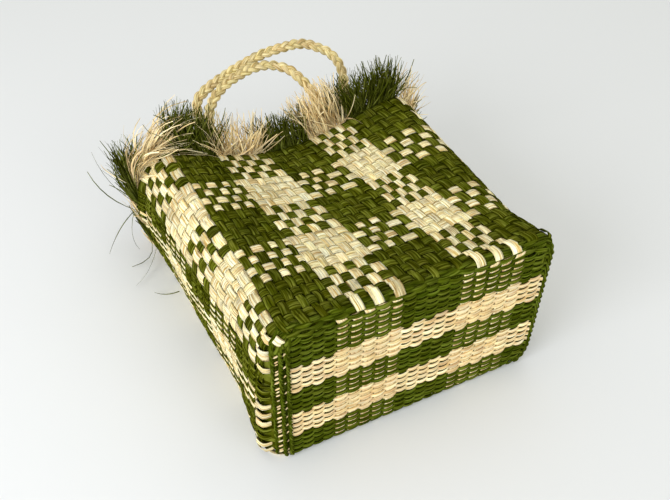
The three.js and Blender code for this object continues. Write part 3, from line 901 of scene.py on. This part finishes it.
def plait(route):
    bundle = Bundle()
    length, path = smooth_route(route)
    along = unit(np.gradient(path, axis=0))
    count = len(path)
    middle = path[count // 2]
    face = unit(np.cross(path[count // 3] - middle, path[2 * count // 3] - middle))
    face = face if face[2] > 0 else -face
    wide = unit(np.cross(along, face))
    deep = np.cross(wide, along)
    width_knots = np.linspace(0, length[-1], STRAND_WIDTH_KNOTS)
    tone_knots = np.linspace(0, length[-1], ROPE_TONE_KNOTS)
    for strand in range(PLAIT_STRANDS):
        angle = 2 * math.pi * (length / PLAIT_PERIOD + strand / PLAIT_STRANDS)
        sway = wide * (PLAIT_WIDE * np.sin(angle))[:, None]
        centre = path + sway + deep * (PLAIT_DEEP * np.sin(2 * angle))[:, None]
        forward = unit(np.gradient(centre, axis=0))
        side = unit(np.cross(forward, deep))
        out = np.cross(side, forward)
        half = STRAND_WIDE * (1 + wander(length, width_knots, 0, STRAND_WIDTH_SPREAD))
        rings = strip_rings(centre, side, out, half, STRAND_THICK, *round_section(STRAND_SIDES))
        tone = ROPE_TONE + wander(length, tone_knots, 0, ROPE_TONE_SPREAD)
        bundle.add(rings[None], ROPE_FIBRES_ACROSS, length[:, None], tone[:, None], NATURAL)
    return bundle


for name, route in HANDLE_ROUTES.items():
    plait(route).build(f"plaited_handle_{name}", ROPE, "natural_rope", f"handle_{name}")

# Fringe: the loose ends of the warps. Rows of FRINGE_WAYS: place, mean direction, mean length, spread of
# the directions, and density. Rows of FRINGE_BENDS: place, and how far the knee is pulled, in lengths.
FRINGE_WAYS = np.array([
    (-1.00, 0.00, 1.00, 0.00, 26, 0.12, 0.5),
    (-0.73, -0.10, 0.97, 0.10, 40, 0.12, 0.3),
    (-0.51, -0.10, 0.95, 0.20, 44, 0.10, 0.2),
    (-0.49, -0.15, 0.45, 0.86, 46, 0.20, 0.9),
    (-0.33, -0.02, 0.36, 0.93, 54, 0.20, 1.3),
    (-0.30, 0.45, 0.20, 0.85, 42, 0.34, 1.3),
    (-0.12, 0.70, 0.10, 0.70, 47, 0.32, 1.5),
    (0.06, 0.85, 0.05, 0.52, 50, 0.32, 1.5),
    (0.08, 0.20, 0.35, 0.90, 45, 0.26, 1.7),
    (0.20, 0.00, 0.42, 0.88, 44, 0.28, 1.7),
    (0.23, -0.20, 0.50, 0.82, 42, 0.44, 1.0),
    (0.39, 0.55, 0.50, 0.62, 42, 0.50, 0.9),
    (0.42, -0.05, 0.66, 0.76, 35, 0.28, 1.6),
    (0.56, -0.05, 0.66, 0.76, 35, 0.28, 1.6),
    (0.60, -0.35, 0.60, 0.75, 46, 0.30, 1.4),
    (0.72, -0.20, 0.58, 0.80, 50, 0.30, 1.4),
    (0.76, -0.30, 0.50, 0.86, 42, 0.32, 2.1),
    (0.86, 0.00, 0.45, 0.90, 42, 0.32, 2.2),
    (0.94, 0.30, 0.40, 0.88, 42, 0.32, 2.1),
    (0.96, 0.35, 0.45, 0.80, 34, 0.36, 0.3),
    (1.20, 0.60, 0.50, 0.55, 28, 0.36, 0.25),
    (1.50, 0.60, 0.75, 0.20, 20, 0.25, 0.4),
    (1.85, 0.30, 0.95, 0.00, 28, 0.18, 0.6),
    (2.10, 0.00, 1.00, 0.00, 30, 0.15, 0.6),
    (3.00, 0.00, 1.00, 0.00, 26, 0.12, 0.5),
])
FRINGE_BENDS = np.array([
    (-0.34, 0.0, 0.1, 0.0),
    (-0.28, -0.35, 0.0, 0.2),
    (0.0, -0.3, 0.0, 0.25),
    (0.09, 0.0, 0.1, 0.0),
])
STRANDS_A_COLUMN, STRAND_STATIONS = 40, 7
STRAND_LENGTHS, STRAND_HALVES, ROOT_DEPTHS = (0.55, 1.2), (0.4, 0.95), (0.3, 2.3)
STRAND_TAPER, STRAND_RIDGE = 0.6, 0.5
RIM_OVERLAP = 1.0
KNEE_SHARE, KNEE_SPREAD = 0.5, 0.12
FRINGE_FLOOR, FRINGE_TOP = 0.6, 172.0
FRINGE_TONE, FRINGE_TONE_SPREAD = 0.72, 0.21
# Painted light along each loose strand: darker at its root in the crowded fringe, lighter towards its tip
TIP_PAINTED_LIGHT = {NATURAL: 0.3, GREEN: 0.15}


def loose_strands(bundle, root, knee, tip, half_width, tone, kind):
    """Thin bent ribbons from their roots, by way of the pull of a knee, to their tips."""
    count = len(root)
    t = np.linspace(0, 1, STRAND_STATIONS)[:, None]
    path = root[:, None] * (1 - t) ** 2 + 2 * knee[:, None] * (t * (1 - t)) + tip[:, None] * t ** 2
    path[..., 2] = np.clip(path[..., 2], FRINGE_FLOOR, FRINGE_TOP)
    forward = unit(np.gradient(path, axis=1))
    across = unit(np.cross(forward, unit(random.normal(0, 1, (count, 1, 3)))))
    lift = np.cross(across, forward)
    half = half_width[:, None] * (1 - STRAND_TAPER * t[:, 0] ** 2)
    edge = across * half[..., None]
    ridge = lift * (STRAND_RIDGE * half)[..., None]
    rings = np.stack([path - edge, path + ridge, path + edge], axis=2)
    reach = np.linalg.norm(tip - root, axis=1)[:, None, None] * t
    # Painted light and shade: each strand's tone falls towards its root and rises towards its tip
    tones = tone[:, None, None] + TIP_PAINTED_LIGHT[kind] * (t - 0.5)
    bundle.add(rings, half[..., None] * np.array([-1.0, 0.0, 1.0]), reach, tones, kind, closed_section=False)


def fringe(columns):
    bundle = Bundle()
    middles = left_spot(column_place(columns + 0.5, RIM_TRAVEL))
    density = np.interp(middles, FRINGE_WAYS[:, 0], FRINGE_WAYS[:, -1])
    warps = np.repeat(columns, np.round(STRANDS_A_COLUMN * density).astype(int))
    count = len(warps)
    column = warps + random.uniform(0.0, 1.0, count)
    rim = rim_travel(column_place(column, RIM_TRAVEL)) - RIM_OVERLAP
    place = column_place(column, np.minimum(rim, RIM_TRAVEL))
    point, _, _, out = wall_frame(place, rim)
    spot = left_spot(place)
    x, y, z, length, spread = (np.interp(spot, FRINGE_WAYS[:, 0], value) for value in FRINGE_WAYS.T[1:-1])
    way = unit(unit(np.stack([x, y, z], axis=1)) + random.normal(0, 1, (count, 3)) * spread[:, None])
    length = length * random.uniform(*STRAND_LENGTHS, count)
    root = point - out * random.uniform(*ROOT_DEPTHS, count)[:, None]
    bend = np.stack([np.interp(spot, FRINGE_BENDS[:, 0], value) for value in FRINGE_BENDS.T[1:]], axis=1)
    pull = KNEE_SHARE * way + random.normal(0, KNEE_SPREAD, (count, 3)) + bend
    knee = root + pull * length[:, None]
    tip = root + way * length[:, None]
    tone = random.normal(FRINGE_TONE, FRINGE_TONE_SPREAD, count)
    half = random.uniform(*STRAND_HALVES, count)
    loose_strands(bundle, root, knee, tip, half, tone, column_fibre[columns[0]])
    return bundle


# Single long strands that stray from the fringe: root, knee and tip
STRAYS = {
    "natural": (
        ((-106, 292, 118), (-90, 292, 119), (-63, 275, 111)),
        ((82, 292, 106), (90, 288, 111), (93, 270, 111)),
        ((-122, 300, 108), (-92, 312, 124), (-70, 304, 120)),
    ),
    "green": (
        ((-152, 318, 42), (-169, 340, 9), (-187, 310, 2)),
        ((-150, 300, 36), (-133, 275, 6), (-171, 280, 2)),
        ((-141, 289, 8), (-158, 258, 4), (-175, 251, 2)),
        ((-152, 312, 48), (-164, 315, 12), (-156, 303, 2)),
        ((-139, 218, 8), (-154, 221, 4), (-161, 234, 2)),
        ((-150, 306, 52), (-178, 330, 58), (-186, 338, 92)),
        ((-148, 306, 60), (-172, 336, 70), (-176, 352, 104)),
    ),
}
STRAY_HALF, STRAY_TONE = 0.7, 0.62
fringe_nodes = [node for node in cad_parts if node.startswith("fringe_")]
for name, kind in (("natural", NATURAL), ("green", GREEN)):
    tufts = fringe(np.flatnonzero(column_fibre == kind))
    root, knee, tip = np.array(STRAYS[name], float).swapaxes(0, 1)
    half, tone = np.full(len(root), STRAY_HALF), np.full(len(root), STRAY_TONE)
    loose_strands(tufts, root, knee, tip, half, tone, kind)
    own_nodes = [node for node in fringe_nodes if ("green" in node) == (kind == GREEN)]
    tufts.build(f"fringe_{name}", LOOSE, f"{name}_fringe", *own_nodes)

# Sheets behind the base's rows and cords, so that no light shows between them; their dark green tone is
# painted shade in the gaps
BACKING_TURNS, BACKING_DEPTH = (-0.6, 1.5), 1.2
BACKING_HEIGHTS, BACKING_INSIDE = (2.0, 146.0), 2.4
BACKING_STEPS = 24
backing = Bundle()
backing_turn = np.linspace(*BACKING_TURNS, BACKING_STEPS)
for side in (LEFT, RIGHT):
    heights = np.linspace(CORD_BOTTOM, CORD_TOP[side], BACKING_STEPS)[:, None]
    sheet = edge_point(side, backing_turn, heights) - edge_outward(side, backing_turn) * BACKING_DEPTH
    # The sheets' dark tone is painted shade
    backing.add(sheet[None], 0.0, heights, LINING_TONE_AND_SHADE[GREEN], GREEN, closed_section=False)
heights = np.linspace(*BACKING_HEIGHTS, BACKING_STEPS)[:, None]
left_end, right_end = (side * (BASE_HALF - BASE_MARGIN - drawn_in(side, heights)) for side in (LEFT, RIGHT))
across = left_end + (right_end - left_end) * np.linspace(0, 1, BACKING_STEPS)
sheet = np.stack(np.broadcast_arrays(across, BACKING_INSIDE, heights), axis=-1)
backing.add(sheet[None], heights, across, LINING_TONE_AND_SHADE[GREEN], GREEN, closed_section=False)
backing.build("base_backing_painted_shade", BASE_STRIPS, "base_weave")

# Stage, in metres
FLOOR_SIZE = 6.0
FLOOR_LEVEL = -0.0006
FLOOR_COLOUR = (228, 230, 230)
FLOOR_ROUGHNESS, FLOOR_GLOSS = 0.8, 0.1
FLOOR_CORNERS = ((-1, -1), (1, -1), (1, 1), (-1, 1))
floor_mesh = bpy.data.meshes.new("floor")
floor_points = [(x * FLOOR_SIZE, y * FLOOR_SIZE, FLOOR_LEVEL) for x, y in FLOOR_CORNERS]
floor_mesh.from_pydata(floor_points, [], [(0, 1, 2, 3)])
floor = bpy.data.objects.new("floor", floor_mesh)
bpy.context.scene.collection.objects.link(floor)
floor_material = bpy.data.materials.new("pale_floor")
floor_material.use_nodes = True
floor_shader = floor_material.node_tree.nodes["Principled BSDF"]
floor_shader.inputs["Base Color"].default_value = colour(*FLOOR_COLOUR)
floor_shader.inputs["Roughness"].default_value = FLOOR_ROUGHNESS
floor_shader.inputs["Specular IOR Level"].default_value = FLOOR_GLOSS
floor_mesh.materials.append(floor_material)

# Soft lights: place, target, size, power and colour
WHITE, COOL_WHITE = (1.0, 1.0, 1.0), (0.98, 0.99, 1.06)
LIGHTS = {
    "window": ((-1.7, -0.65, 0.8), (0, 0, 0.05), 1.4, 27, COOL_WHITE),
    "far_window": ((0.9, 2.2, 1.0), (0.1, 0.5, 0.0), 1.6, 2.2, WHITE),
    "ceiling": ((0.4, 0.1, 1.5), (0.05, 0, 0.1), 1.2, 1.8, WHITE),
    "room": ((0.7, -2.2, 0.9), (0, 0, 0.05), 1.6, 9.8, WHITE),
}
for name, (place, target, size, power, light_colour) in LIGHTS.items():
    data = bpy.data.lights.new(name, "AREA")
    data.shape = "DISK"
    data.size = size
    data.energy = power
    data.color = light_colour
    light = bpy.data.objects.new(name, data)
    light.location = place
    light.rotation_mode = "QUATERNION"
    light.rotation_quaternion = (Vector(target) - Vector(place)).to_track_quat("-Z", "Y")
    bpy.context.scene.collection.objects.link(light)

WORLD_COLOUR, WORLD_STRENGTH = (1.0, 1.0, 0.96, 1.0), 0.75
world = bpy.data.worlds.new("studio")
world.use_nodes = True
background = world.node_tree.nodes["Background"]
background.inputs["Color"].default_value = WORLD_COLOUR
background.inputs["Strength"].default_value = WORLD_STRENGTH
bpy.context.scene.world = world
bpy.context.scene.view_settings.view_transform = "Standard"

# Camera at the photograph's viewing angle, for an image of 670 by 500. The target is in millimetres.
IMAGE_WIDTH = 670
FOCAL_PIXELS = 780.0
SENSOR = 36.0
AZIMUTH, ELEVATION, ROLL = math.radians(-27.3), math.radians(42.5), math.radians(1.0)
TARGET = np.array([34.4, 212.2, 0.0])
DISTANCE = 844.8
CENTRE_SHIFT = -1.0
right = np.array([math.cos(AZIMUTH), math.sin(AZIMUTH), 0.0])
level_back = np.array([math.sin(AZIMUTH), -math.cos(AZIMUTH), 0.0])
back = level_back * math.cos(ELEVATION) + Z_AXIS * math.sin(ELEVATION)
up = np.cross(back, right)
right, up = right * math.cos(ROLL) + up * math.sin(ROLL), up * math.cos(ROLL) - right * math.sin(ROLL)
eye = (TARGET + back * DISTANCE + OFFSET) * MM
camera_data = bpy.data.cameras.new("camera")
camera_data.sensor_width = SENSOR
camera_data.lens = FOCAL_PIXELS / IMAGE_WIDTH * SENSOR
camera_data.shift_x = CENTRE_SHIFT / IMAGE_WIDTH
camera = bpy.data.objects.new("camera", camera_data)
camera.matrix_world = Matrix([(right[i], up[i], back[i], eye[i]) for i in range(3)] + [(0, 0, 0, 1)])
bpy.context.scene.collection.objects.link(camera)
bpy.context.scene.camera = camera
